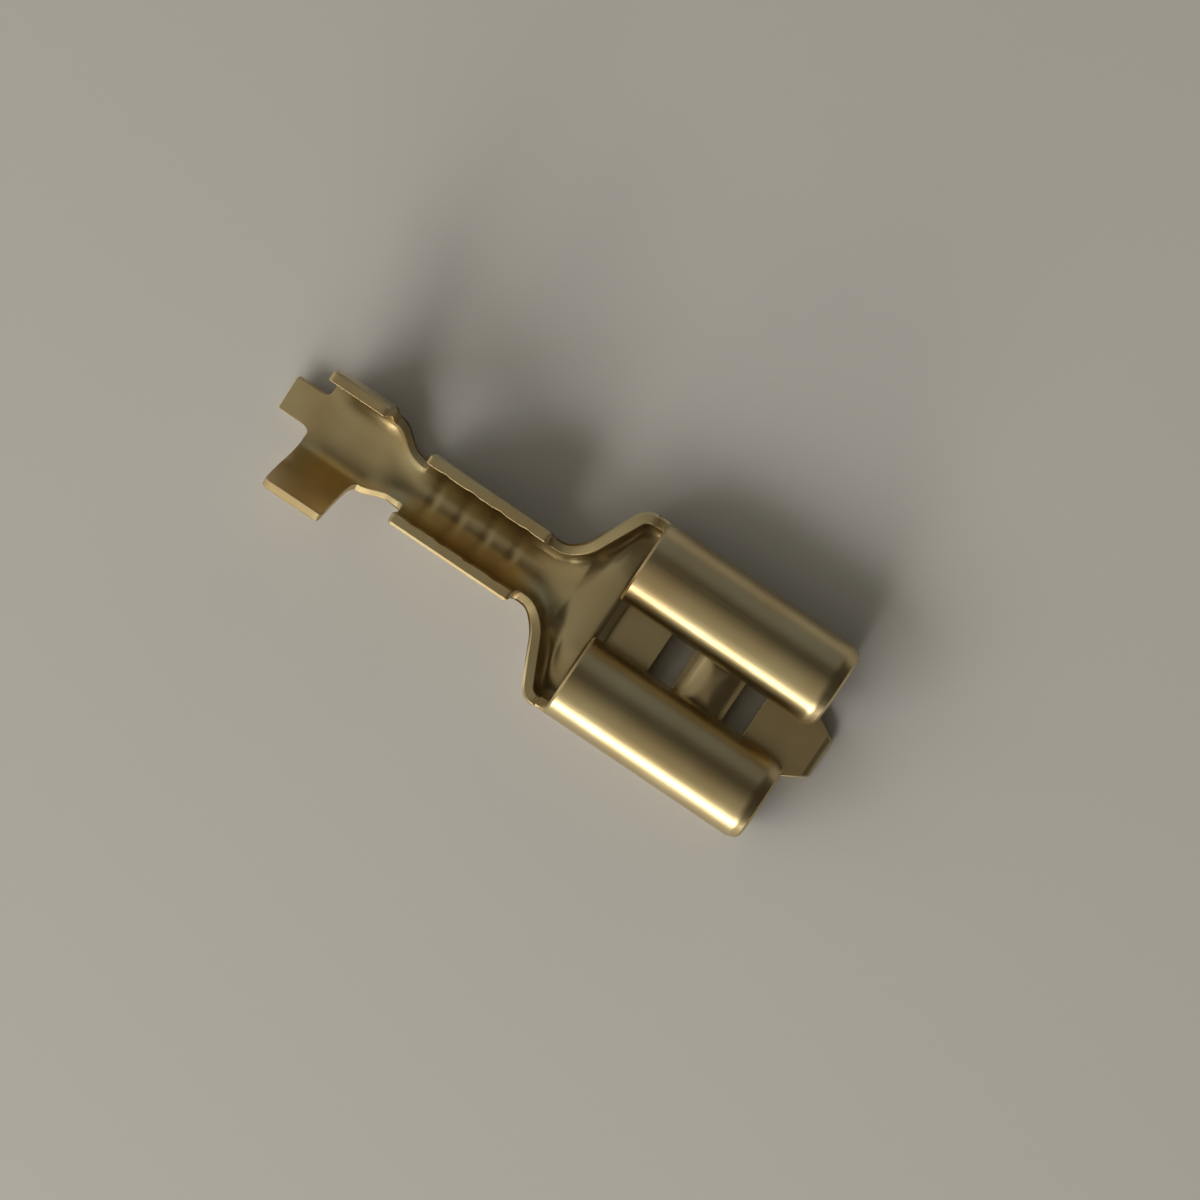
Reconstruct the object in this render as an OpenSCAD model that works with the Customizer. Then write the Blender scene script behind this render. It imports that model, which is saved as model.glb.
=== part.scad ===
// Female spade terminal for a 6.3 x 0.8 mm tab, open barrel crimp.
// One piece of brass strip, blanked, formed and cut off its carrier.
// X runs along the terminal with the tab mouth at +X, Z is up,
// and the part rests on the underside of its receptacle floor.

/* [Strip] */
// Thickness of the brass strip
sheet_t = 0.4; // [0.3:0.02:0.5]

/* [Receptacle] */
// Length of the two rolls
roll_len = 7.9; // [6.8:0.1:9]
// Width over the two rolls
receptacle_w = 7.8; // [7.4:0.1:8.6]
// Height of the rolls above the underside of the floor
roll_h = 2.75; // [2.5:0.05:3.2]
// Outer radius of a roll on its outer side
roll_r = 1.52; // [1.3:0.02:1.7]
// Gap between the two rolled edges, seen from above
roll_gap = 2.15; // [1.8:0.05:2.5]
// Clear height between a rolled edge and the floor, which grips the tab
tab_gap = 0.74; // [0.6:0.02:0.95]
// Inner radius between the floor and a side
corner_r = 0.6; // [0.3:0.05:0.75]
// Length of the bevel round the mouth of each roll
mouth_len = 0.4; // [0.1:0.05:0.6]
// Depth of the bevel round the mouth of each roll
mouth_depth = 0.14; // [0.05:0.01:0.2]

/* [Floor] */
// Distance from the rear edge of the rolls to the rear window
window_1_x = 2.2; // [1.4:0.05:2.4]
// Length of the rear window
window_1_len = 1.0; // [0.6:0.05:1.1]
// Distance from the rear edge of the rolls to the front window
window_2_x = 5.25; // [5.1:0.05:5.5]
// Length of the front window
window_2_len = 0.88; // [0.6:0.02:1]
// Width of both windows
window_w = 3.7; // [2.6:0.1:4.2]
// Corner radius of both windows
window_r = 0.2; // [0.1:0.05:0.25]
// Distance from the rear edge of the rolls to the crest of the detent
detent_x = 4.25; // [4.1:0.05:4.4]
// Length of the detent
detent_len = 1.5; // [1:0.05:1.6]
// Width of the detent
detent_w = 3.2; // [2.4:0.1:3.5]
// Height of the detent
detent_h = 0.22; // [0.1:0.01:0.3]
// Length of the tongue in front of the rolls
tongue_len = 0.92; // [0.6:0.02:1.4]
// Width of the tongue at its tip
tongue_tip_w = 1.45; // [1:0.05:1.8]
// Width of the tongue where it leaves the floor
tongue_root_w = 2.9; // [2.2:0.1:3.6]
// Distance that the floor beside the tongue stays behind the rolls
floor_setback = 0.3; // [0.1:0.05:0.5]
// Length of the lead-in bevel on the tip of the tongue
lead_len = 0.26; // [0.1:0.02:0.4]
// Depth of the lead-in bevel on the tip of the tongue
lead_depth = 0.18; // [0.05:0.01:0.22]

/* [Transition] */
// Length from the rolls to the wire barrel
transition_len = 3.1; // [2.9:0.05:4]
// Height of the tab stop above the floor
stop_h = 0.34; // [0.2:0.02:0.4]
// Length of the ramp in front of the tab stop
stop_ramp = 0.46; // [0.36:0.02:0.6]
// Angle at which the two sides spread towards the rolls
spread_angle = 64; // [60:1:68]
// Plan radius where the sides begin to spread
spread_r = 1.5; // [1.2:0.05:1.65]
// Plan radius where the sides turn into line with the rolls
shoulder_r = 0.35; // [0.3:0.05:0.5]
// Width of the relief gap between a side and the roll behind it
relief_w = 0.36; // [0.2:0.02:0.44]
// Height of the sides above the floor beside the relief gap
flange_h = 1.5; // [1:0.05:1.8]
// Height of the sides above the floor beside the wire barrel
notch_h = 0.62; // [0.45:0.01:0.8]

/* [Wire barrel] */
// Length of the wire barrel
wire_len = 4.85; // [4:0.05:6]
// Inner radius of the wire barrel
wire_r = 1.0; // [0.8:0.02:1.15]
// Height of the wire barrel above its underside
wire_h = 2.8; // [2.3:0.05:3.4]
// Number of serration grooves
groove_count = 4; // [3:1:5]
// Distance from one groove to the next
groove_pitch = 1.1; // [0.8:0.05:1.2]
// Width of a groove
groove_w = 0.32; // [0.2:0.02:0.5]
// Depth of a groove
groove_depth = 0.08; // [0.04:0.01:0.12]

/* [Neck] */
// Length of the neck between the two barrels
neck_len = 1.55; // [1.3:0.05:2.2]
// Height of the neck's sides above its floor
neck_h = 0.3; // [0.2:0.02:0.5]

/* [Insulation barrel] */
// Length of the insulation barrel
grip_len = 2.45; // [2:0.05:3.4]
// Inner radius of the insulation barrel
grip_r = 1.6; // [1.4:0.05:1.8]
// Height of the ears above the underside of the barrel
ear_h = 3.9; // [3.2:0.1:4.6]
// Outward lean of each ear
ear_lean = 8; // [0:1:16]
// Distance that the front edge of an ear stays behind the front of the barrel
ear_setback = 0.18; // [0.04:0.02:0.28]
// Fillet radius between the front edge of an ear and the neck
ear_fillet_r = 0.45; // [0.3:0.05:0.6]
// Turn of the barrel about the long axis, as it came off the press
grip_turn = 9.5; // [0:0.5:12]

/* [Carrier tab] */
// Length of the cut-off tab behind the insulation barrel
carrier_len = 1.45; // [0.6:0.05:2]
// Width of the cut-off tab
carrier_w = 1.3; // [0.9:0.05:1.8]
// Inner corner radius where the tab leaves the barrel
carrier_r = 0.25; // [0.1:0.05:0.4]

/* [Hidden] */
$fn = 96;
brass = [0.72, 0.6, 0.36];

// Receptacle, with x = 0 at the rear edge of the rolls
half_w = receptacle_w / 2;
roll_y = half_w - roll_r;
roll_z = roll_h - roll_r;
curl_r = roll_y - roll_gap / 2;
curl_z = roll_h - curl_r;
curl_hook = asin((curl_z - sheet_t - tab_gap) / curl_r);
grip_z = sheet_t + grip_r;
side_y = half_w - sheet_t - corner_r;
corner_out = corner_r + sheet_t;

// Stations along the terminal
wire_front_x = -transition_len;
wire_rear_x = wire_front_x - wire_len;
grip_front_x = wire_rear_x - neck_len;
grip_rear_x = grip_front_x - grip_len;
rear_x = grip_rear_x - carrier_len;
front_x = roll_len + tongue_len;
middle_x = (front_x + rear_x) / 2;

// Formed sheet between two exact lengths laps this far into them, a hair inside their faces
lap = 0.05;
skin = 0.004;

// Distances behind the rolls at which the section of the transition changes: its bottom is as
// round as the wire barrel up to round_end and has the receptacle's corners from corner_start,
// and its sides rise from the low notch at notch_end to their full height at flange_start
round_end = 0.42 * transition_len;
corner_start = 0.03 * transition_len;
notch_end = 0.84 * transition_len;
flange_start = 0.2 * transition_len;

// Plan of a side of the transition, inner face
seam = 0.2 * sheet_t;
spread_w = half_w - sheet_t - wire_r;
shoulder_x = -relief_w - seam;
line_dy = spread_w - (spread_r + shoulder_r) * (1 - cos(spread_angle));
line_dx = line_dy / tan(spread_angle);
line_end_x = shoulder_x - shoulder_r * sin(spread_angle);
line_start_x = line_end_x - line_dx;
spread_x = line_start_x - spread_r * sin(spread_angle);
stop_end_x = stop_ramp + seam;
side_z = roll_z - lap / 2;

function clamp01(v) = max(0, min(1, v));
function ease(v) = let (c = clamp01(v)) c * c * (3 - 2 * c);
function blend(a, b, v) = a + (b - a) * ease(v);
function unit(v) = v / norm(v);

// A point on the inner face of a channel's section, at the share v of the way from its
// centre line to its edge. The bend is a quarter ellipse between a flat floor and a wall.
function section_point(flat, bend_y, bend_z, wall, v) =
    let (
        sweep = wall >= bend_z ? 90 : acos(1 - wall / bend_z),
        mean_r = (bend_y + bend_z) / 2,
        arc = mean_r * sweep * PI / 180,
        run = flat + arc + max(0, wall - bend_z),
        d = abs(v) * run,
        turn = sweep * min(1, (d - flat) / arc)
    )
    d < flat ? [sign(v) * d, 0]
    : wall <= bend_z || d < flat + arc ? [sign(v) * (flat + bend_y * sin(turn)), bend_z * (1 - cos(turn))]
    : [sign(v) * (flat + bend_y), bend_z + d - flat - arc];

// Half width inside a side of the transition
function spread_at(x) =
    x <= spread_x ? wire_r
    : x <= line_start_x ? wire_r + spread_r - sqrt(spread_r ^ 2 - (x - spread_x) ^ 2)
    : x <= line_end_x ? wire_r + spread_r * (1 - cos(spread_angle)) + (x - line_start_x) * tan(spread_angle)
    : x <= shoulder_x ? wire_r + spread_w - shoulder_r + sqrt(shoulder_r ^ 2 - (shoulder_x - x) ^ 2)
    : wire_r + spread_w;

// Height of the floor above its own level: the tab stop falls steeply to the front and gently
// to the wire barrel
function stop_rise(x) =
    x >= 0 ? stop_h * (1 - ease(x / stop_ramp))
    : stop_h * (1 - ease(-x / (0.9 * transition_len)));

function transition_face(x, v) =
    let (
        half = spread_at(x),
        open = clamp01((x - spread_x) / (shoulder_x - spread_x)),
        widen = ease(open * 2.2) * (1 - ease((x + round_end) / round_end)),
        bend_z = blend(wire_r, corner_r, (x + round_end) / (round_end - corner_start)),
        bend_y = min(half, bend_z * (1 + 0.9 * widen)),
        wall = blend(notch_h, flange_h, (x + notch_end) / (notch_end - flange_start)),
        p = section_point(half - bend_y, bend_y, bend_z, wall, v),
        level = 1 - ease((abs(p.x) / half - 0.4) / 0.55)
    )
    [x, p.x, sheet_t + p.y + stop_rise(x) * level];

function neck_face(x, v) =
    let (
        s = (wire_rear_x - x) / neck_len,
        r = blend(wire_r, grip_r, s),
        wall = blend(neck_h, neck_h * 2, (s - 0.35) / 0.65),
        turn = grip_turn * ease(s),
        p = section_point(0, r, r, wall, v),
        q = [p.x, p.y - r]
    )
    [x, q.x * cos(turn) - q.y * sin(turn), sheet_t + r + q.x * sin(turn) + q.y * cos(turn)];

// Unit normal of a face, pointing into the channel
function face_normal(face, x, v) =
    let (
        e = 0.002,
        along = face(x + e, v) - face(x - e, v),
        across = face(x, min(1, v + e)) - face(x, max(-1, v - e))
    )
    unit(cross(along, across));

function steps(a, b, n) = [for (i = [0:n]) a + (b - a) * i / n];

// Solid of a formed sheet whose inner face is a function of x and of the share v across it
module formed_sheet(face, xs, half_count) {
    vs = [for (i = [-half_count:half_count]) sin(90 * i / half_count)];
    nx = len(xs);
    nv = len(vs);
    inner = [for (x = xs, v = vs) face(x, v) - skin * face_normal(face, x, v)];
    outer = [for (x = xs, v = vs) face(x, v) - (sheet_t - skin) * face_normal(face, x, v)];
    function at(i, j) = i * nv + j;
    function below(i, j) = nx * nv + i * nv + j;
    polyhedron(
        points = concat(inner, outer),
        faces = concat(
            [for (i = [0:nx - 2], j = [0:nv - 2]) each
                [[at(i, j), at(i, j + 1), at(i + 1, j + 1)], [at(i, j), at(i + 1, j + 1), at(i + 1, j)]]],
            [for (i = [0:nx - 2], j = [0:nv - 2]) each
                [[below(i, j), below(i + 1, j + 1), below(i, j + 1)],
                 [below(i, j), below(i + 1, j), below(i + 1, j + 1)]]],
            [for (i = [0:nx - 2]) each
                [[at(i, 0), at(i + 1, 0), below(i + 1, 0)], [at(i, 0), below(i + 1, 0), below(i, 0)]]],
            [for (i = [0:nx - 2]) each
                [[at(i, nv - 1), below(i + 1, nv - 1), at(i + 1, nv - 1)],
                 [at(i, nv - 1), below(i, nv - 1), below(i + 1, nv - 1)]]],
            [for (j = [0:nv - 2]) each
                [[at(0, j), below(0, j + 1), at(0, j + 1)], [at(0, j), below(0, j), below(0, j + 1)]]],
            [for (j = [0:nv - 2]) each
                [[at(nx - 1, j), at(nx - 1, j + 1), below(nx - 1, j + 1)],
                 [at(nx - 1, j), below(nx - 1, j + 1), below(nx - 1, j)]]]
        )
    );
}

// Sheet seen edge on, with a bevel at the far end of its outer face
module sheet_edge(length, bevel_len, bevel_depth) {
    polygon([
        [0, 0], [sheet_t, 0], [sheet_t, length - bevel_len],
        [sheet_t - bevel_depth, length], [0, length]
    ]);
}

// Sheet bent round an axis along X at (y, z), inner radius r, from the sheet seen edge on.
// Angles are seen from the front, from +Y towards +Z.
module bend(x0, y, z, r, from, sweep) {
    translate([x0, y, z]) rotate([90, 0, 90]) rotate([0, 0, from])
        rotate_extrude(angle = sweep) translate([r, 0]) children();
}

// One side of the receptacle: corner, side and roll
module receptacle_side() {
    bend(0, side_y, corner_out, corner_r, -90, 90) roll_edge();
    translate([0, half_w - sheet_t, corner_out]) mirror([1, -1, 0])
        linear_extrude(roll_z - corner_out) roll_edge();
    bend(0, roll_y, roll_z, roll_r - sheet_t, 0, 90) roll_edge();
    bend(0, roll_y, curl_z, curl_r - sheet_t, 90, 90 + curl_hook) roll_edge();
}

module roll_edge() {
    sheet_edge(roll_len, mouth_len, mouth_depth);
}

// Outline of the floor, with the tongue
module floor_outline() {
    front = roll_len - floor_setback;
    polygon([
        [stop_end_x, -side_y], [front, -side_y], [front, -tongue_root_w / 2],
        [front_x, -tongue_tip_w / 2], [front_x, tongue_tip_w / 2],
        [front, tongue_root_w / 2], [front, side_y], [stop_end_x, side_y]
    ]);
}

// Upright cutter with rounded corners, from the corner (x, y)
module rounded_cutter(x, y, length, width, r) {
    for (sx = [0, 1], sy = [0, 1])
        translate([x + r + sx * (length - 2 * r), y + r + sy * (width - 2 * r), -1])
            cylinder(r = r, h = 3);
    translate([x + r, y, -1]) cube([length - 2 * r, width, 3]);
    translate([x, y + r, -1]) cube([length, width - 2 * r, 3]);
}

// Cushion of two crossed cylinders whose crest is at the height top
module cushion(top) {
    r_x = ((detent_len / 2) ^ 2 + detent_h ^ 2) / (2 * detent_h);
    r_y = ((detent_w / 2) ^ 2 + detent_h ^ 2) / (2 * detent_h);
    translate([detent_x, 0, top]) intersection() {
        translate([0, 0, -r_x]) rotate([90, 0, 0]) cylinder(r = r_x, h = 2 * detent_w, center = true, $fn = 180);
        translate([0, 0, -r_y]) rotate([0, 90, 0]) cylinder(r = r_y, h = 2 * detent_len, center = true, $fn = 180);
        translate([0, 0, -detent_h / 2 - 0.05])
            cube([2 * detent_len, 2 * detent_w, detent_h + 0.1], center = true);
    }
}

module floor_plate() {
    difference() {
        union() {
            linear_extrude(sheet_t) floor_outline();
            cushion(sheet_t + detent_h);
        }
        rounded_cutter(window_1_x, -window_w / 2, window_1_len, window_w, window_r);
        rounded_cutter(window_2_x, -window_w / 2, window_2_len, window_w, window_r);
        difference() {
            cushion(detent_h);
            translate([detent_x - detent_len, -detent_w, -1]) cube([2 * detent_len, 2 * detent_w, 1]);
        }
        translate([front_x, 0, sheet_t]) rotate([0, atan2(lead_depth, lead_len), 0])
            translate([-1, -tongue_root_w, -lead_len * sin(atan2(lead_depth, lead_len))])
                cube([2, 2 * tongue_root_w, 1]);
    }
}

module transition() {
    difference() {
        formed_sheet(
            function(x, v) transition_face(x, v),
            concat(
                steps(wire_front_x - lap, 2 * shoulder_x, 16), steps(2 * shoulder_x, 0, 12),
                steps(0, stop_end_x + lap, 7)
            ),
            20
        );
        translate([-relief_w, -half_w - 1, side_z]) cube([2, 2 * half_w + 2, 3]);
    }
}

// Section of a barrel, inside or outside face: round below, with two sides that lean out
module barrel_section(r, axis_z, lean, top) {
    foot_y = r * cos(lean);
    foot_z = axis_z - r * sin(lean);
    top_y = foot_y + (top - foot_z) * tan(lean);
    translate([0, axis_z]) circle(r = r);
    polygon([[-foot_y, foot_z], [foot_y, foot_z], [top_y, top], [-top_y, top]]);
}

module along_x(x0, length) {
    translate([x0, 0, 0]) rotate([90, 0, 90]) linear_extrude(length) children();
}

module wire_barrel() {
    axis_z = sheet_t + wire_r;
    groove_start = (wire_rear_x + wire_front_x - (groove_count - 1) * groove_pitch - groove_w) / 2;
    difference() {
        along_x(wire_rear_x, wire_len) barrel_section(wire_r + sheet_t, axis_z, 0, wire_h);
        along_x(wire_rear_x - 1, wire_len + 2) barrel_section(wire_r, axis_z, 0, wire_h + 1);
        for (i = [0:groove_count - 1])
            along_x(groove_start + i * groove_pitch, groove_w)
                barrel_section(wire_r + groove_depth, axis_z, 0, wire_h + 1);
    }
}

module neck() {
    formed_sheet(
        function(x, v) neck_face(x, v),
        steps(grip_front_x - lap, wire_rear_x + lap, 14),
        10
    );
}

// Tab left from the carrier strip, with rounded corners where it leaves the barrel
module carrier_tab() {
    notch_w = grip_r * 2;
    reach = asin(min(0.95, (carrier_w / 2 + 1.3 * carrier_r) / grip_r));
    difference() {
        bend(rear_x, 0, grip_z, grip_r, -90 - reach, 2 * reach) square([sheet_t, carrier_len]);
        for (s = [0, 1]) mirror([0, s, 0])
            rounded_cutter(rear_x - 1, carrier_w / 2, carrier_len + 1, notch_w, carrier_r);
    }
}

module insulation_barrel() {
    translate([0, 0, grip_z]) rotate([grip_turn, 0, 0]) translate([0, 0, -grip_z]) {
        difference() {
            along_x(grip_rear_x, grip_len) barrel_section(grip_r + sheet_t, grip_z, ear_lean, ear_h);
            along_x(grip_rear_x - 1, grip_len + 2) barrel_section(grip_r, grip_z, ear_lean, ear_h + 1);
            translate([grip_front_x - ear_setback, -ear_h, sheet_t + 2 * neck_h + ear_fillet_r]) {
                cube([2 * ear_fillet_r, 2 * ear_h, ear_h]);
                translate([ear_fillet_r, 0, 0]) rotate([-90, 0, 0]) cylinder(r = ear_fillet_r, h = 2 * ear_h);
            }
        }
        carrier_tab();
    }
}

module female_spade_terminal() {
    color(brass) translate([-middle_x, 0, 0]) {
        for (s = [0, 1]) mirror([0, s, 0]) receptacle_side();
        floor_plate();
        transition();
        wire_barrel();
        neck();
        insulation_barrel();
    }
}

female_spade_terminal();
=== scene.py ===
import math

import bmesh
import bpy
from mathutils import Matrix, Vector


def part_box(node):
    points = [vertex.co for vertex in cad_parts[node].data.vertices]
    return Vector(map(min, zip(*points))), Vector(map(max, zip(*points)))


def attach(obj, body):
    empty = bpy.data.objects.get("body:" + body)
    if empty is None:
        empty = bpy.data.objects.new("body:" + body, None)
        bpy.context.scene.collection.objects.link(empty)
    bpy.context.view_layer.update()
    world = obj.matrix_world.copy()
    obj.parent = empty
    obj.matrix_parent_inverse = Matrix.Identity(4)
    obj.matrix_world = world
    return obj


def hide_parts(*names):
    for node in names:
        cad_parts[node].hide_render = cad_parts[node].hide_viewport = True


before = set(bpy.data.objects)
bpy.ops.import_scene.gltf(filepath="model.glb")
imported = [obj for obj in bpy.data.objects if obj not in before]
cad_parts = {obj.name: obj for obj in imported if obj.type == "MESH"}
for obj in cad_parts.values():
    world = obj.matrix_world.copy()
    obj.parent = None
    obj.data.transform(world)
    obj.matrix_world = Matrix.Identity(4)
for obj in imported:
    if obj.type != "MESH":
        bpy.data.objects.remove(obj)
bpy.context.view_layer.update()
part_low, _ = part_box("female_spade_terminal")

# ------------------------------------------------------------------------------------------
# The camera looks almost straight down on the part, which lies with its mouth at the lower
# right. It hangs 125 mm above the bench, a little to the mouth's left, and looks back at the
# middle of the part.
# ------------------------------------------------------------------------------------------
MM = 0.001
CAMERA_PLACE = (2.98 * MM, 6.31 * MM, 125 * MM)
CAMERA_TURN = (-1.97, 2.0, 33.94)
SENSOR_MM = 36
LENS_MM = 109

camera_data = bpy.data.cameras.new("camera")
camera_data.sensor_width = SENSOR_MM
camera_data.lens = LENS_MM
camera_data.clip_start = 1 * MM
camera_data.clip_end = 10
camera = bpy.data.objects.new("camera", camera_data)
camera.location = CAMERA_PLACE
camera.rotation_euler = [math.radians(a) for a in CAMERA_TURN]
bpy.context.scene.collection.objects.link(camera)
bpy.context.scene.camera = camera


# ------------------------------------------------------------------------------------------
# Terminal, first step: the blank. It is one piece of 0.4 mm brass strip, punched flat with its
# two windows, the notches between its wings and the stub of its carrier. It is laid out as the
# press cuts it, in millimetres: x along the strip, s across it from the middle.
# ------------------------------------------------------------------------------------------
SHEET_T = 0.4

ROLL_LEN = 7.9
RECEPTACLE_W = 7.8
ROLL_H = 2.75
ROLL_R = 1.52
ROLL_GAP = 1.5
TAB_GAP = 0.74
CORNER_R = 0.6
MOUTH_LEN = 0.4
MOUTH_DEPTH = 0.14
ROOT_MARGIN = 0.02

WINDOWS = ((2.2, 1.0), (5.25, 0.88))
WINDOW_W = 3.7
WINDOW_R = 0.2
DETENT_X = 4.25
DETENT_LEN = 1.5
DETENT_W = 3.2
DETENT_H = 0.22
TONGUE_LEN = 0.92
TONGUE_TIP_W = 1.45
TONGUE_ROOT_W = 2.9
FLOOR_SETBACK = 0.3
LEAD_LEN = 0.26
LEAD_DEPTH = 0.18
TONGUE_NARROWING = (1 - TONGUE_TIP_W / TONGUE_ROOT_W) / (TONGUE_LEN + FLOOR_SETBACK)

TRANSITION_LEN = 3.1
STOP_H = 0.34
STOP_RAMP = 0.46
SPREAD_ANGLE = math.radians(64)
SPREAD_R = 1.5
SHOULDER_R = 0.35
SHOULDER_MARGIN = 0.2 * SHEET_T
RELIEF_W = 0.36
FLANGE_H = 1.5
NOTCH_H = 0.62

WIRE_LEN = 4.85
WIRE_R = 1.0
WIRE_H = 2.8
GROOVE_COUNT = 4
GROOVE_PITCH = 1.1
GROOVE_W = 0.6
GROOVE_DEPTH = 0.03

NECK_LEN = 1.7
NECK_H = 0.3
NECK_RISE_START = 0.35
GRIP_RIM_H = 2 * NECK_H
GRIP_LEN = 2.45
GRIP_R = 1.6
EAR_H = 3.9
EAR_LEAN = math.radians(8)
EAR_SETBACK = 0.18
EAR_FILLET_R = 0.45
GRIP_TURN = math.radians(9.5)
CARRIER_LEN = 1.3
CARRIER_W = 1.3
CARRIER_R = 0.25
TAB_FLAT_START = 0.9
TAB_FLAT_LEN = 1.3
GRIP_LIFT = 0.1
TAB_LIFT = 0.04
EAR_FLARE = 0.05

QUARTER = math.pi / 2
half_w = RECEPTACLE_W / 2
roll_y = half_w - ROLL_R
roll_z = ROLL_H - ROLL_R
curl_r = roll_y - ROLL_GAP / 2
curl_z = ROLL_H - curl_r
roll_inner_r = ROLL_R - SHEET_T
curl_inner_r = curl_r - SHEET_T
curl_hook = math.asin((curl_z - SHEET_T - TAB_GAP) / curl_r)
side_y = half_w - SHEET_T - CORNER_R
corner_top = SHEET_T + CORNER_R
grip_z = SHEET_T + GRIP_R

wire_front_x = -TRANSITION_LEN
wire_rear_x = wire_front_x - WIRE_LEN
grip_front_x = wire_rear_x - NECK_LEN
grip_rear_x = grip_front_x - GRIP_LEN
ear_front_x = grip_front_x - EAR_SETBACK
rear_x = grip_rear_x - CARRIER_LEN
front_x = ROLL_LEN + TONGUE_LEN
floor_front_x = ROLL_LEN - FLOOR_SETBACK
tongue_bevel_x = front_x - LEAD_LEN
mouth_x = ROLL_LEN - MOUTH_LEN

shoulder_x = -RELIEF_W - SHOULDER_MARGIN
spread_w = half_w - SHEET_T - WIRE_R
line_dy = spread_w - (SPREAD_R + SHOULDER_R) * (1 - math.cos(SPREAD_ANGLE))
line_end_x = shoulder_x - SHOULDER_R * math.sin(SPREAD_ANGLE)
line_start_x = line_end_x - line_dy / math.tan(SPREAD_ANGLE)
spread_x = line_start_x - SPREAD_R * math.sin(SPREAD_ANGLE)


def ease(t):
    t = max(0.0, min(1.0, t))
    return t * t * (3 - 2 * t)


def blend(a, b, t):
    return a + (b - a) * ease(t)


def spread_at(x):
    """Half width inside a side of the transition."""
    if x <= spread_x:
        return WIRE_R
    if x <= line_start_x:
        return WIRE_R + SPREAD_R - math.sqrt(SPREAD_R**2 - (x - spread_x) ** 2)
    if x <= line_end_x:
        line_start = WIRE_R + SPREAD_R * (1 - math.cos(SPREAD_ANGLE))
        return line_start + (x - line_start_x) * math.tan(SPREAD_ANGLE)
    if x <= shoulder_x:
        return WIRE_R + spread_w - SHOULDER_R + math.sqrt(SHOULDER_R**2 - (shoulder_x - x) ** 2)
    return WIRE_R + spread_w


def transition_section(x):
    """Half of the flat, the two radii of the bend and the wall's height, at x."""
    round_end = 0.42 * TRANSITION_LEN
    corner_start = 0.03 * TRANSITION_LEN
    notch_end = 0.84 * TRANSITION_LEN
    flange_start = 0.2 * TRANSITION_LEN
    widening_rate = 2.2
    widening = 0.9
    half = spread_at(x)
    opened = max(0.0, min(1.0, (x - spread_x) / (shoulder_x - spread_x)))
    widen = ease(opened * widening_rate) * (1 - ease((x + round_end) / round_end))
    bend_z = blend(WIRE_R, CORNER_R, (x + round_end) / (round_end - corner_start))
    bend_y = min(half, bend_z * (1 + widening * widen))
    wall = blend(NOTCH_H, FLANGE_H, (x + notch_end) / (notch_end - flange_start))
    return half - bend_y, bend_y, bend_z, wall


def run_to(flat, bend_y, bend_z, wall):
    """Length of sheet from the middle up to the height of the wall."""
    mean_r = (bend_y + bend_z) / 2
    if wall < bend_z:
        return flat + mean_r * math.acos(1 - wall / bend_z)
    return flat + mean_r * QUARTER + wall - bend_z


def neck_section(x):
    """Radius, rim height and turn of the neck at x."""
    t = (wire_rear_x - x) / NECK_LEN
    rim = blend(NECK_H, GRIP_RIM_H, (t - NECK_RISE_START) / (1 - NECK_RISE_START))
    return blend(WIRE_R, GRIP_R, t), rim, GRIP_TURN * ease(t)


corner_run = side_y + CORNER_R * QUARTER
base_run = run_to(side_y, CORNER_R, CORNER_R, FLANGE_H)
roll_run = corner_run + roll_z - corner_top
link_run = roll_run - ROOT_MARGIN
crest_run = roll_run + roll_inner_r * QUARTER
edge_run = crest_run + curl_inner_r * (QUARTER + curl_hook)
wire_bend_run = WIRE_R * QUARTER
wire_run = wire_bend_run + WIRE_H - SHEET_T - WIRE_R
ear_bend_run = GRIP_R * (QUARTER - EAR_LEAN)
ear_foot_z = grip_z - GRIP_R * math.sin(EAR_LEAN)
ear_run = ear_bend_run + (EAR_H - ear_foot_z) / math.cos(EAR_LEAN)
tab_run = CARRIER_W / 2
tongue_share = TONGUE_ROOT_W / 2 / base_run
tab_share = WINDOW_W / 2 / base_run
link_share = link_run / base_run
notch_run = run_to(0, WIRE_R, WIRE_R, NOTCH_H)
neck_rear_run = run_to(0, GRIP_R, GRIP_R, GRIP_RIM_H)
neck_front_run = run_to(0, WIRE_R, WIRE_R, NECK_H)


def run_at(x):
    """Half width of the strip at x, up to the rim that runs from end to end."""
    if x >= 0:
        return base_run
    if x >= wire_front_x:
        return run_to(*transition_section(x))
    if x >= wire_rear_x:
        t = (x - wire_rear_x) / WIRE_LEN
        return neck_front_run + (notch_run - neck_front_run) * t
    if x >= grip_front_x:
        r, rim, _ = neck_section(x)
        return run_to(0, r, r, rim)
    t = min(1.0, (grip_front_x - x) / GRIP_LEN)
    return neck_rear_run + (tab_run / tab_share - neck_rear_run) * t


def stations(*legs):
    """Places along the legs (from, to, count), each place once."""
    places = [legs[0][0]]
    for start, end, count in legs:
        places += [start + (end - start) * (i + 1) / count for i in range(count)]
    return places


groove_start = (wire_rear_x + wire_front_x - (GROOVE_COUNT - 1) * GROOVE_PITCH - GROOVE_W) / 2
CORNER_STEP = 0.14
wire_legs = [(wire_rear_x, wire_rear_x + CORNER_STEP, 1)]
place = wire_rear_x + CORNER_STEP
for n in range(GROOVE_COUNT):
    groove = groove_start + n * GROOVE_PITCH
    wire_legs += [
        (place, groove, 4),
        (groove, groove + GROOVE_W, 8),
    ]
    place = groove + GROOVE_W
wire_legs += [(place, wire_front_x - CORNER_STEP, 4), (wire_front_x - CORNER_STEP, wire_front_x, 1)]

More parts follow.
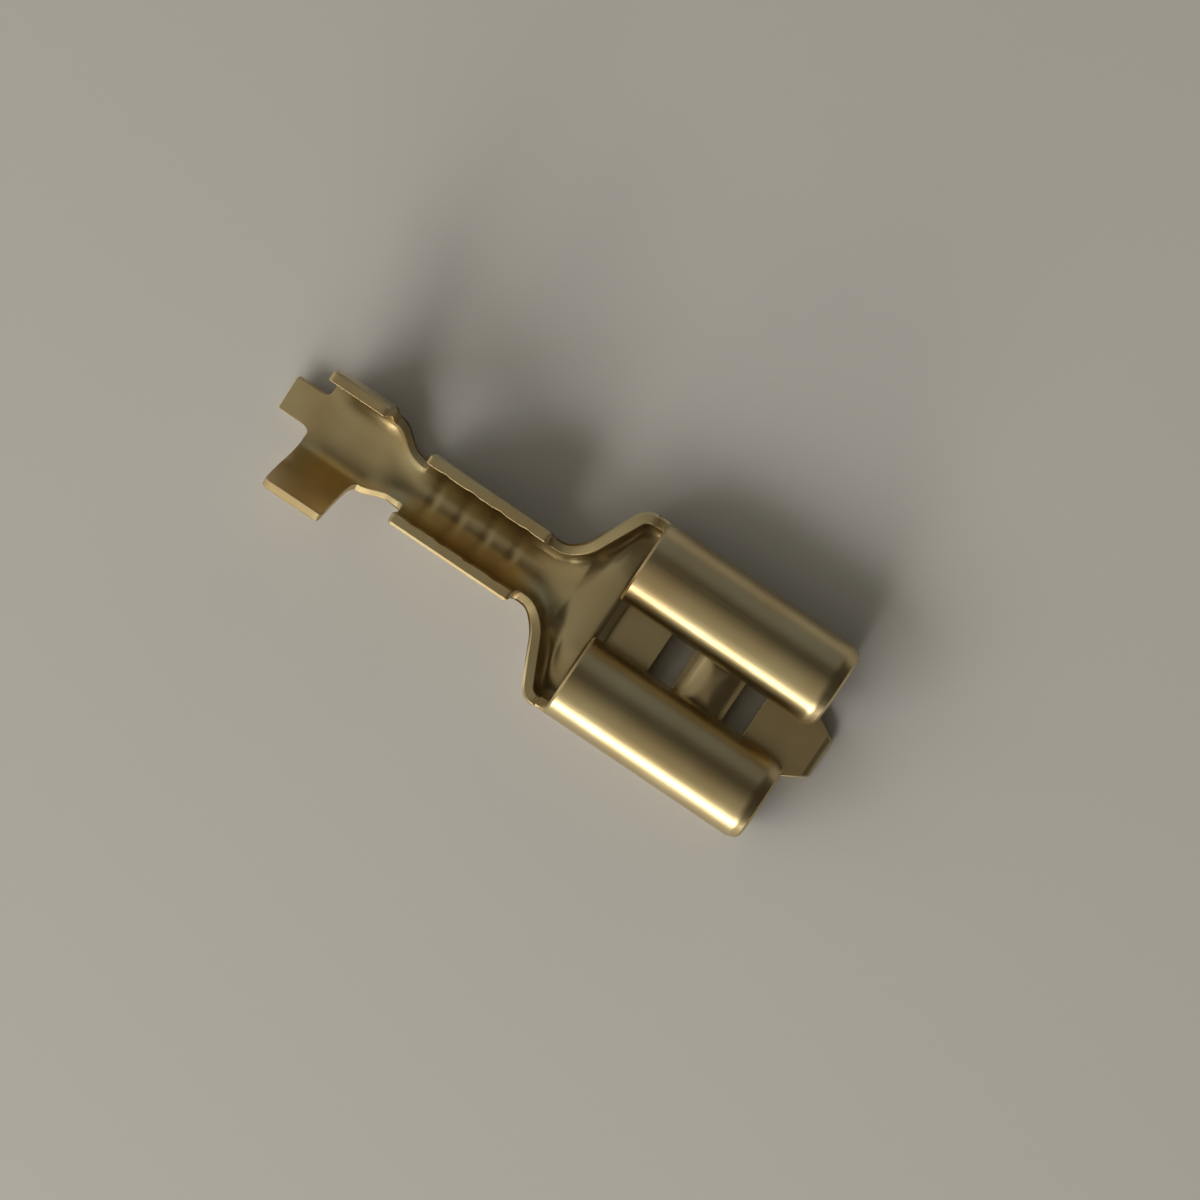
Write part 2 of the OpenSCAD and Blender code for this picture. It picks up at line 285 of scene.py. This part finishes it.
window_legs = []
place = STOP_RAMP
for window_x, window_len in WINDOWS:
    window_legs += [
        (place, window_x, max(1, round((window_x - place) / CORNER_STEP))),
        (window_x, window_x + WINDOW_R, 1),
        (window_x + WINDOW_R, window_x + window_len - WINDOW_R, 3),
        (window_x + window_len - WINDOW_R, window_x + window_len, 1),
    ]
    place = window_x + window_len
    if place < DETENT_X:
        window_legs += [
            (place, DETENT_X - DETENT_LEN / 2, 2),
            (DETENT_X - DETENT_LEN / 2, DETENT_X + DETENT_LEN / 2, 18),
        ]
        place = DETENT_X + DETENT_LEN / 2

grip_rows = stations(
    (grip_rear_x, grip_rear_x + CORNER_STEP, 1),
    (grip_rear_x + CORNER_STEP, ear_front_x, 16),
)
wire_rows = stations(*wire_legs)
roll_rows = stations(
    (0, CORNER_STEP, 1),
    (CORNER_STEP, STOP_RAMP, 8),
    *window_legs,
    (place, mouth_x, 9),
    (mouth_x, floor_front_x, 1),
    (floor_front_x, ROLL_LEN, 2),
)
strip_rows = (
    stations((rear_x, grip_rear_x - CARRIER_R, 8), (grip_rear_x - CARRIER_R, grip_rear_x, 1))
    + grip_rows[1:]
    + stations((ear_front_x, grip_front_x, 1), (grip_front_x, wire_rear_x - CORNER_STEP, 18))[1:]
    + wire_rows
    + stations(
        (wire_front_x, wire_front_x + CORNER_STEP, 1),
        (wire_front_x + CORNER_STEP, -RELIEF_W - CORNER_STEP, 44),
        (-RELIEF_W - CORNER_STEP, -RELIEF_W, 1),
        (-RELIEF_W, 0, 3),
    )[1:-1]
    + roll_rows
)
window_corner_share = (WINDOW_W / 2 - WINDOW_R) / base_run
side_share = side_y / base_run
half_shares = stations(
    (0, tongue_share, 9),
    (tongue_share, window_corner_share, 2),
    (window_corner_share, tab_share, 1),
    (tab_share, side_share, 10),
    (side_share, link_share, 14),
    (link_share, 1, 6),
)


FILLET_LINES = 4
WIRE_FILLET = 0.16
ROLL_FILLET = 0.1
SIDE_CORNER_R = 0.2
TONGUE_CORNER_R = 0.07
TAB_CORNER_R = 0.08
EAR_CORNER_R = 0.15
WING_CORNER_R = 0.1
JOIN_DISTANCE = 0.002
WELD_DISTANCE = 0.005


def cut_sheet(name, rows, shares, across):
    """A flat sheet of quads at z = 0, whose point at x and share lies at s = across(x, share)."""
    columns, lines = len(rows) - 1, len(shares) - 1
    bpy.ops.object.select_all(action="DESELECT")
    bpy.ops.mesh.primitive_grid_add(x_subdivisions=columns, y_subdivisions=lines, size=1)
    sheet = bpy.context.object
    sheet.name = name
    for v in sheet.data.vertices:
        x = rows[round((v.co.x + 0.5) * columns)]
        share = shares[round((v.co.y + 0.5) * lines)]
        v.co = (x, across(x, share), 0)
    return sheet


def both_sides(shares):
    return [-share for share in reversed(shares[1:])] + shares


def wing(name, rows, root, fillet, *legs):
    """Both wings of a pair: sheets from root(x), over the fillet's height and then along the legs
    (run, count) to their edges."""
    counts = [FILLET_LINES] + [count for _, count in legs]
    pair = []
    for side in (1, -1):

        def across(x, line):
            knots = [root(x), root(x) + fillet] + [run for run, _ in legs]
            for leg, count in enumerate(counts):
                if line <= count:
                    return side * (knots[leg] + (knots[leg + 1] - knots[leg]) * line / count)
                line -= count

        pair.append(cut_sheet(name, rows, list(range(sum(counts) + 1)), across))
    return pair


strip = cut_sheet(
    "terminal", strip_rows, both_sides(half_shares), lambda x, share: share * run_at(x)
)
tongue_shares = [share for share in half_shares if share <= tongue_share + 1e-6]
tongue = cut_sheet(
    "tongue",
    stations((floor_front_x, tongue_bevel_x, 7), (tongue_bevel_x, front_x, 2)),
    both_sides(tongue_shares),
    lambda x, share: share * base_run * (1 - TONGUE_NARROWING * (x - floor_front_x)),
)
rolls = wing("roll", roll_rows, lambda x: link_run, ROLL_FILLET, (crest_run, 20), (edge_run, 22))
wire_wings = wing("wire wing", wire_rows, run_at, WIRE_FILLET, (wire_bend_run, 4), (wire_run, 12))
ears = wing("ear", grip_rows, run_at, EAR_FILLET_R, (ear_bend_run, 5), (ear_run, 14))


def outside(x, s):
    """Whether the press removes the strip at (x, s)."""
    share = abs(s) / run_at(x)
    if x < grip_rear_x:
        return share > tab_share
    if any(start < x < start + length for start, length in WINDOWS) and abs(s) < WINDOW_W / 2:
        return True
    if x > floor_front_x and abs(s) < side_y:
        return True
    return x > -RELIEF_W and share > link_share


blank = bmesh.new()
blank.from_mesh(strip.data)
punched = [f for f in blank.faces if outside(*f.calc_center_median().xy)]
bmesh.ops.delete(blank, geom=punched, context="FACES")
blank.to_mesh(strip.data)
blank.free()

bpy.ops.object.select_all(action="DESELECT")
for sheet in [strip, tongue, *rolls, *wire_wings, *ears]:
    sheet.select_set(True)
bpy.context.view_layer.objects.active = strip
bpy.ops.object.join()
terminal = bpy.context.object
bpy.ops.object.mode_set(mode="EDIT")
bpy.ops.mesh.select_all(action="SELECT")
bpy.ops.mesh.remove_doubles(threshold=JOIN_DISTANCE)
bpy.ops.object.mode_set(mode="OBJECT")

blank = bmesh.new()
blank.from_mesh(terminal.data)


def vertex_at(x, s):
    return min(blank.verts, key=lambda v: (v.co.x - x) ** 2 + (v.co.y - s) ** 2)


def fill_corner(x, s, height):
    """Rounds the inner corner at (x, s): the next point along x and the points up to the height
    across the strip are joined by a quarter of an ellipse."""
    corner = vertex_at(x, s)
    rim = [e.other_vert(corner) for e in corner.link_edges if e.is_boundary]
    rim.sort(key=lambda v: abs(v.co.y - corner.co.y) / max(1e-6, abs(v.co.x - corner.co.x)))
    foot, step = rim
    line = [corner]
    while abs(step.co.y - corner.co.y) < height + 1e-4:
        line.append(step)
        step = next(
            e.other_vert(step)
            for e in step.link_edges
            if e.is_boundary and e.other_vert(step) not in line
        )
    reach = (line[-1].co - corner.co).length
    curve = [foot]
    for v in line[1:-1]:
        t = 1 - (v.co - corner.co).length / reach
        curve.append(blank.verts.new(v.co + (foot.co - corner.co) * (1 - math.sqrt(1 - t * t))))
    for i in range(len(line) - 1):
        corners = [line[i], line[i + 1]] + curve[i : i + 2][::-1]
        face = blank.faces.new(corners)
        face.normal_update()
        if face.normal.z < 0:
            face.normal_flip()


def round_corner(x, s, radius):
    """Rounds the outer corner at (x, s)."""
    bmesh.ops.bevel(
        blank, geom=[vertex_at(x, s)], offset=radius, segments=3, profile=0.5, affect="VERTICES"
    )


for side in (1, -1):
    for window_x, window_len in WINDOWS:
        fill_corner(window_x, side * WINDOW_W / 2, WINDOW_R)
        fill_corner(window_x + window_len, side * WINDOW_W / 2, WINDOW_R)
    fill_corner(wire_rear_x, side * neck_front_run, WIRE_FILLET)
    fill_corner(wire_front_x, side * notch_run, WIRE_FILLET)
    fill_corner(ear_front_x, side * run_at(ear_front_x), EAR_FILLET_R)
    fill_corner(grip_rear_x, side * tab_run, CARRIER_R)
    fill_corner(0, side * link_run, ROLL_FILLET)
    fill_corner(-RELIEF_W, side * link_run, ROLL_FILLET)
    fill_corner(floor_front_x, side * side_y, ROLL_FILLET)

    round_corner(-RELIEF_W, side * base_run, SIDE_CORNER_R)
    round_corner(front_x, side * TONGUE_TIP_W / 2, TONGUE_CORNER_R)
    round_corner(rear_x, side * tab_run, TAB_CORNER_R)
    for x in (grip_rear_x, ear_front_x):
        round_corner(x, side * ear_run, EAR_CORNER_R)
    for x in (wire_rear_x, wire_front_x):
        round_corner(x, side * wire_run, WING_CORNER_R)
    for x in (0, ROLL_LEN):
        round_corner(x, side * edge_run, WING_CORNER_R)

bmesh.ops.remove_doubles(blank, verts=blank.verts, dist=WELD_DISTANCE)
for f in blank.faces:
    f.normal_update()
    if f.normal.z < 0:
        f.normal_flip()


# ------------------------------------------------------------------------------------------
# Terminal, second step: the forming. The press bends the blank up into two U-shaped barrels
# and a flat receptacle whose sides are rolled inwards, and pushes the detent and the tab stop
# up out of the floor. The end with the insulation barrel comes off the press a little turned.
# ------------------------------------------------------------------------------------------
STOP_FADE = 0.9
FLOOR_FADE_START = 0.4
FLOOR_FADE_LEN = 0.55
SQUARE_POWER = 3
SQUARE_FADE_START = 0.5
SQUARE_FADE_LEN = 0.4
TAB_FADE_START = 0.7
TAB_FADE_LEN = 1.9
NORMAL_STEP = 0.002

detent_rx = ((DETENT_LEN / 2) ** 2 + DETENT_H**2) / (2 * DETENT_H)
detent_ry = ((DETENT_W / 2) ** 2 + DETENT_H**2) / (2 * DETENT_H)


def stop_rise(x):
    """Rise of the floor to the tab stop."""
    if x >= 0:
        return STOP_H * (1 - ease(x / STOP_RAMP))
    return STOP_H * (1 - ease(-x / (STOP_FADE * TRANSITION_LEN)))


def floor_share(x, y):
    """How far the point is floor: 1 in the middle, 0 before the sides."""
    return 1 - ease((y / spread_at(x) - FLOOR_FADE_START) / FLOOR_FADE_LEN)


def detent_rise(x, y):
    """Rise of the floor to the crest of the detent, a cushion between two crossed cylinders."""
    dx = x - DETENT_X
    if abs(dx) > DETENT_LEN / 2 or abs(y) > DETENT_W / 2:
        return 0
    along = math.sqrt(detent_rx**2 - dx**2) - detent_rx + DETENT_H
    across = math.sqrt(detent_ry**2 - y**2) - detent_ry + DETENT_H
    return max(0, min(along, across))


def bend_point(flat, bend_y, bend_z, d):
    """Point at the run d on a flat, a quarter bend and an upright wall."""
    mean_r = (bend_y + bend_z) / 2
    if d <= flat:
        return d, 0
    turn = (d - flat) / mean_r
    if turn <= QUARTER:
        return flat + bend_y * math.sin(turn), bend_z * (1 - math.cos(turn))
    return flat + bend_y, bend_z + d - flat - mean_r * QUARTER


def receptacle_point(d):
    """Point at the run d on the floor, the corner, the side and the roll."""
    if d <= roll_run:
        y, z = bend_point(side_y, CORNER_R, CORNER_R, d)
        return y, z + SHEET_T
    if d <= crest_run:
        turn = (d - roll_run) / roll_inner_r
        return roll_y + roll_inner_r * math.cos(turn), roll_z + roll_inner_r * math.sin(turn)
    turn = (d - crest_run) / curl_inner_r
    return roll_y - curl_inner_r * math.sin(turn), curl_z + curl_inner_r * math.cos(turn)


def grip_point(r, d):
    """Point at the run d on a round bottom and a side that leans out."""
    if d <= ear_bend_run:
        return bend_point(0, r, r, d)
    past = d - ear_bend_run
    return (
        r * math.cos(EAR_LEAN) + past * math.sin(EAR_LEAN),
        r * (1 - math.sin(EAR_LEAN)) + past * math.cos(EAR_LEAN),
    )


def form(x, s):
    """Where the point (x, s) of the blank's upper face ends up."""
    side, d = math.copysign(1, s), abs(s)
    if x >= 0:
        y, z = receptacle_point(d)
        if d < side_y + CORNER_R:
            z += stop_rise(x) * floor_share(x, y) + detent_rise(x, y)
        return Vector((x, side * y, z))
    if x >= wire_front_x:
        flat, bend_y, bend_z, _ = transition_section(x)
        y, z = bend_point(flat, bend_y, bend_z, d)
        return Vector((x, side * y, SHEET_T + z + stop_rise(x) * floor_share(x, y)))
    if x >= wire_rear_x:
        y, z = bend_point(0, WIRE_R, WIRE_R, d)
        return Vector((x, side * y, SHEET_T + z))
    r, _, turn = neck_section(max(x, grip_front_x))
    if x < grip_front_x:
        y, z = grip_point(r, d)
        if side < 0 and d > ear_bend_run:
            y += EAR_FLARE * (d - ear_bend_run) ** 2
    else:
        y, z = bend_point(0, r, r, d)
    along = ease((wire_rear_x - x) / NECK_LEN)
    square = along * (1 - ease((d / (r * QUARTER) - SQUARE_FADE_START) / SQUARE_FADE_LEN))
    square_z = r * (1 - (1 - min(1.0, y / r) ** SQUARE_POWER) ** (1 / SQUARE_POWER))
    z += (square_z - z) * square
    flatten = ease((grip_rear_x + TAB_FLAT_START - x) / TAB_FLAT_LEN)
    flatten *= 1 - ease((d / tab_run - TAB_FADE_START) / TAB_FADE_LEN)
    y, z = side * (y + (d - y) * flatten), z * (1 - flatten) - r
    lift = SHEET_T + r + GRIP_LIFT * along + TAB_LIFT * flatten
    cosine, sine = math.cos(turn), math.sin(turn)
    return Vector((x, y * cosine - z * sine, lift + y * sine + z * cosine))


def upward(x, s):
    """Unit normal of the formed upper face. The rolls begin at x = 0, so none of what lies
    behind that line counts for them."""
    behind = max(x - NORMAL_STEP, 0) if x >= 0 else x - NORMAL_STEP
    along = form(x + NORMAL_STEP, s) - form(behind, s)
    across = form(x, s + NORMAL_STEP) - form(x, s - NORMAL_STEP)
    return along.cross(across).normalized()


strip_map = blank.loops.layers.uv.new("strip")
for f in blank.faces:
    for loop in f.loops:
        loop[strip_map].uv = loop.vert.co.xy
laid_out = [v.co.copy() for v in blank.verts]
normals = [upward(p.x, p.y) for p in laid_out]
for v, p in zip(blank.verts, laid_out):
    v.co = form(p.x, p.y)
blank.to_mesh(terminal.data)
blank.free()


# ------------------------------------------------------------------------------------------
# Terminal, third step: the sheet's thickness and its edges. The cut edges have a small chamfer,
# the grooves that bite into the wire are struck into the inner face of the wire barrel, and the
# mouth and the tongue's tip are bevelled to let the tab in.
# ------------------------------------------------------------------------------------------
ROLLOVER = 0.09
BURR_SIDE = 0.25
MOUTH_REACH = 1.01 * MOUTH_LEN
SMOOTH_ANGLE = math.radians(34)


def finish_with(obj, modifier_type, **values):
    modifier = obj.modifiers.new(modifier_type.lower(), modifier_type)
    for name, value in values.items():
        setattr(modifier, name, value)
    bpy.ops.object.select_all(action="DESELECT")
    obj.select_set(True)
    bpy.context.view_layer.objects.active = obj
    bpy.ops.object.modifier_apply(modifier=modifier.name)


finish_with(terminal, "SOLIDIFY", thickness=SHEET_T, offset=-1)


def groove_cut(x):
    """Depth of the grooves at x."""
    for n in range(GROOVE_COUNT):
        start = groove_start + n * GROOVE_PITCH
        if start < x < start + GROOVE_W:
            return GROOVE_DEPTH * math.sin((x - start) / GROOVE_W * math.pi) ** 2
    return 0


upper_count = len(laid_out)
for v in terminal.data.vertices:
    upper = v.index < upper_count
    p = laid_out[v.index % upper_count]
    up = normals[v.index % upper_count]
    if not upper:
        v.co = form(p.x, p.y) - up * SHEET_T
    if upper and wire_rear_x < p.x < wire_front_x:
        v.co -= up * groove_cut(p.x)
    if upper and p.x > tongue_bevel_x:
        v.co.z -= LEAD_DEPTH * (p.x - tongue_bevel_x) / LEAD_LEN
    if not upper and 0 < p.x - mouth_x < MOUTH_REACH and abs(p.y) > side_y:
        v.co += up * MOUTH_DEPTH * (p.x - mouth_x) / MOUTH_LEN


def is_rolled(face):
    """Whether a face belongs to the strip's rolled faces and not to a cut edge."""
    return sum(v.index < upper_count for v in face.verts) in (0, len(face.verts))


solid = bmesh.new()
solid.from_mesh(terminal.data)
rounding = solid.edges.layers.float.new("bevel_weight_edge")
for e in solid.edges:
    kinds = {is_rolled(f) for f in e.link_faces}
    uppers = sum(v.index < upper_count for v in e.verts)
    if len(kinds) == 2 and uppers != 1:
        e[rounding] = BURR_SIDE if uppers else 1.0
sheared = solid.faces.layers.float.new("sheared")
for f in solid.faces:
    f[sheared] = 0.0 if is_rolled(f) else 1.0
solid.to_mesh(terminal.data)
solid.free()
finish_with(
    terminal, "BEVEL", limit_method="WEIGHT", width=ROLLOVER, segments=1, use_clamp_overlap=False
)

middle_x = (front_x + rear_x) / 2
terminal.data.transform(Matrix.Scale(MM, 4) @ Matrix.Translation((-middle_x, 0, 0)))
bpy.ops.object.shade_smooth_by_angle(angle=SMOOTH_ANGLE)
finish_with(terminal, "WEIGHTED_NORMAL", keep_sharp=True)

brass = bpy.data.materials.new("brass")
brass.use_nodes = True
brass_nodes, brass_links = brass.node_tree.nodes, brass.node_tree.links
brass_shader = brass_nodes["Principled BSDF"]
brass_shader.inputs["Metallic"].default_value = 1.0

grain_place = brass_nodes.new("ShaderNodeTexCoord")
patches = brass_nodes.new("ShaderNodeTexNoise")
patches.inputs["Scale"].default_value = 420
patches.inputs["Detail"].default_value = 3
brass_links.new(grain_place.outputs["Object"], patches.inputs["Vector"])
tone = brass_nodes.new("ShaderNodeValToRGB")
tone.color_ramp.elements[0].position = 0.35
tone.color_ramp.elements[0].color = (0.63, 0.495, 0.28, 1)
tone.color_ramp.elements[1].position = 0.65
tone.color_ramp.elements[1].color = (0.69, 0.585, 0.355, 1)
brass_links.new(patches.outputs["Fac"], tone.inputs["Fac"])
brass_links.new(tone.outputs["Color"], brass_shader.inputs["Base Color"])

strip_place = brass_nodes.new("ShaderNodeUVMap")
strip_place.uv_map = "strip"
stretch = brass_nodes.new("ShaderNodeMapping")
stretch.inputs["Scale"].default_value = (0.35, 12, 1)
brass_links.new(strip_place.outputs["UV"], stretch.inputs["Vector"])
rolling_lines = brass_nodes.new("ShaderNodeTexNoise")
rolling_lines.inputs["Scale"].default_value = 1.0
rolling_lines.inputs["Detail"].default_value = 2
brass_links.new(stretch.outputs["Vector"], rolling_lines.inputs["Vector"])
dulling = brass_nodes.new("ShaderNodeMapRange")
dulling.inputs["From Min"].default_value = 0.3
dulling.inputs["From Max"].default_value = 0.7
dulling.inputs["To Min"].default_value = 0.32
dulling.inputs["To Max"].default_value = 0.37
brass_links.new(rolling_lines.outputs["Fac"], dulling.inputs["Value"])

sheared_edge = brass_nodes.new("ShaderNodeAttribute")
sheared_edge.attribute_name = "sheared"
rough_edge = brass_nodes.new("ShaderNodeMix")
brass_links.new(sheared_edge.outputs["Fac"], rough_edge.inputs["Factor"])
brass_links.new(dulling.outputs["Result"], rough_edge.inputs["A"])
rough_edge.inputs["B"].default_value = 0.6
brass_links.new(rough_edge.outputs["Result"], brass_shader.inputs["Roughness"])
terminal.data.materials.clear()
terminal.data.materials.append(brass)

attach(terminal, "root")
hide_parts("female_spade_terminal")


# ------------------------------------------------------------------------------------------
# Floor: plain pale board. It is not part of the object.
# ------------------------------------------------------------------------------------------
FLOOR_SIZE = 3.0

bpy.ops.object.select_all(action="DESELECT")
bpy.ops.mesh.primitive_plane_add(size=FLOOR_SIZE, location=(0, 0, part_low.z))
floor = bpy.context.object
floor.name = "floor"
board = bpy.data.materials.new("pale board")
board.use_nodes = True
board_shader = board.node_tree.nodes["Principled BSDF"]
board_shader.inputs["Base Color"].default_value = (0.5, 0.485, 0.46, 1)
board_shader.inputs["Roughness"].default_value = 0.9
floor.data.materials.append(board)


# ------------------------------------------------------------------------------------------
# Light: a low window on the mouth's right, two soft lamps that light the board alone, and a dim
# room. It is lighter on the window's side and behind the part and dark in front of it, with a
# dark patch overhead and a small bright one low at the back on the window's side.
# ------------------------------------------------------------------------------------------
def soft_box(name, place, width, height, watts, tint):
    """A rectangular lamp at the place, facing the part."""
    data = bpy.data.lights.new(name, "AREA")
    data.shape = "RECTANGLE"
    data.size = width
    data.size_y = height
    data.energy = watts
    data.color = tint
    lamp = bpy.data.objects.new(name, data)
    lamp.location = place
    lamp.rotation_euler = Vector(place).to_track_quat("Z", "Y").to_euler()
    bpy.context.scene.collection.objects.link(lamp)
    return lamp


soft_box("window", (0.055, -0.285, 0.037), 0.14, 0.072, 0.37, (1, 0.945, 0.8))
board_lamps = (
    soft_box("board lamp", (-0.1, -0.3, 0.17), 0.4, 0.16, 1.42, (1, 0.98, 0.95)),
    soft_box("far board lamp", (0.05, 0.35, 0.12), 0.3, 0.15, 0.1, (1, 0.98, 0.95)),
)
for lamp in board_lamps:
    lamp.visible_glossy = False

room = bpy.data.worlds.new("room")
room.use_nodes = True
room_nodes, room_links = room.node_tree.nodes, room.node_tree.links
direction = room_nodes.new("ShaderNodeTexCoord")


def paint_wall(under, towards, start, end, colour):
    """Fades the room's colour to another one around the direction towards."""
    facing = room_nodes.new("ShaderNodeVectorMath")
    facing.operation = "DOT_PRODUCT"
    facing.inputs[1].default_value = towards
    room_links.new(direction.outputs["Generated"], facing.inputs[0])
    fade = room_nodes.new("ShaderNodeMapRange")
    fade.interpolation_type = "SMOOTHSTEP"
    fade.inputs["From Min"].default_value = start
    fade.inputs["From Max"].default_value = end
    room_links.new(facing.outputs["Value"], fade.inputs["Value"])
    mix = room_nodes.new("ShaderNodeMix")
    mix.data_type = "RGBA"
    room_links.new(fade.outputs["Result"], mix.inputs["Factor"])
    room_links.new(under, mix.inputs["A"])
    mix.inputs["B"].default_value = colour
    return mix.outputs["Result"]


ceiling = room_nodes.new("ShaderNodeRGB")
ceiling.outputs["Color"].default_value = (0.17, 0.15, 0.115, 1)
colour = ceiling.outputs["Color"]
for towards, start, end, paint in (
    ((0, -1, 0), 0.1, 0.45, (0.36, 0.325, 0.25, 1)),
    ((-1, 0, 0), 0.08, 0.4, (0.33, 0.315, 0.26, 1)),
    ((0, 1, 0), 0.4, 0.8, (0.18, 0.195, 0.19, 1)),
    ((1, 0, 0), 0.1, 0.4, (0.04, 0.034, 0.026, 1)),
    ((0, 0, -1), -0.2, -0.04, (0.16, 0.155, 0.14, 1)),
    ((-0.86, -0.4, 0.32), 0.93, 0.985, (2.2, 2.1, 1.85, 1)),
    ((0.12, 0.37, 0.92), 0.9, 0.975, (0.03, 0.027, 0.02, 1)),
):
    colour = paint_wall(colour, towards, start, end, paint)
room_links.new(colour, room_nodes["Background"].inputs["Color"])
bpy.context.scene.world = room

bpy.context.scene.view_settings.view_transform = "Standard"
